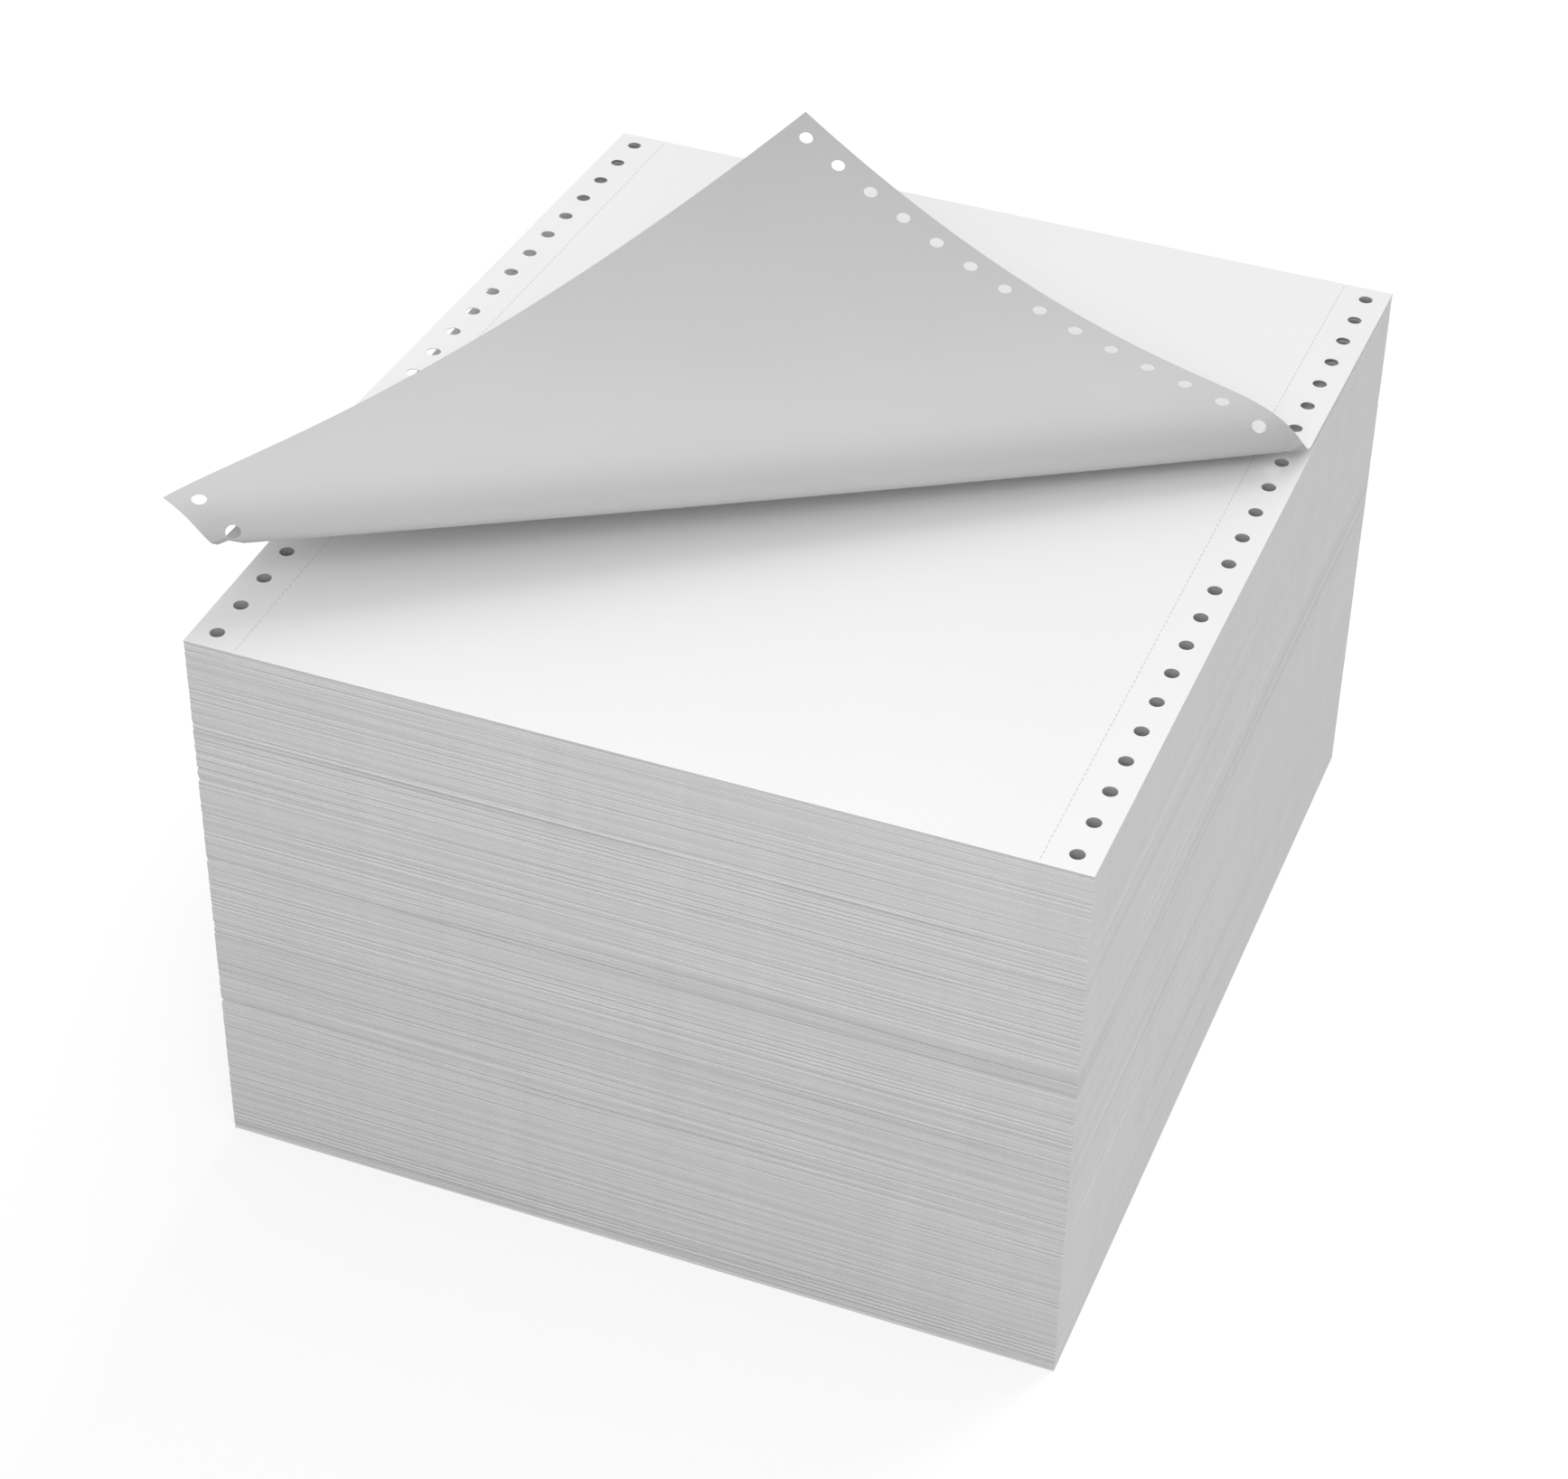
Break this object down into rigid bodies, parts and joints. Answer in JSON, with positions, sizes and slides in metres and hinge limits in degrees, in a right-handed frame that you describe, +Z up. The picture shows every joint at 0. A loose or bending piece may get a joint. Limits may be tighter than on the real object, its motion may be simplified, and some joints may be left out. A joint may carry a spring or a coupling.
{
  "type": "fanfold printer paper",
  "caption": "Pack of continuous printer paper folded zigzag into a block, with feed holes along both sides and its top page lifted and curled back.",
  "frame": {"origin": "centre of the folded pack's flat underside", "axes": "+Z up, +X across the web from cut edge to cut edge, +Y from the front folds to the rear folds"},
  "size_m": [0.2559, 0.2794, 0.2125],
  "materials": {
    "paper": "matte uncoated white paper"
  },
  "bodies": {
    "root": {"fanfold_pack": "paper"}
  },
  "joints": []
}
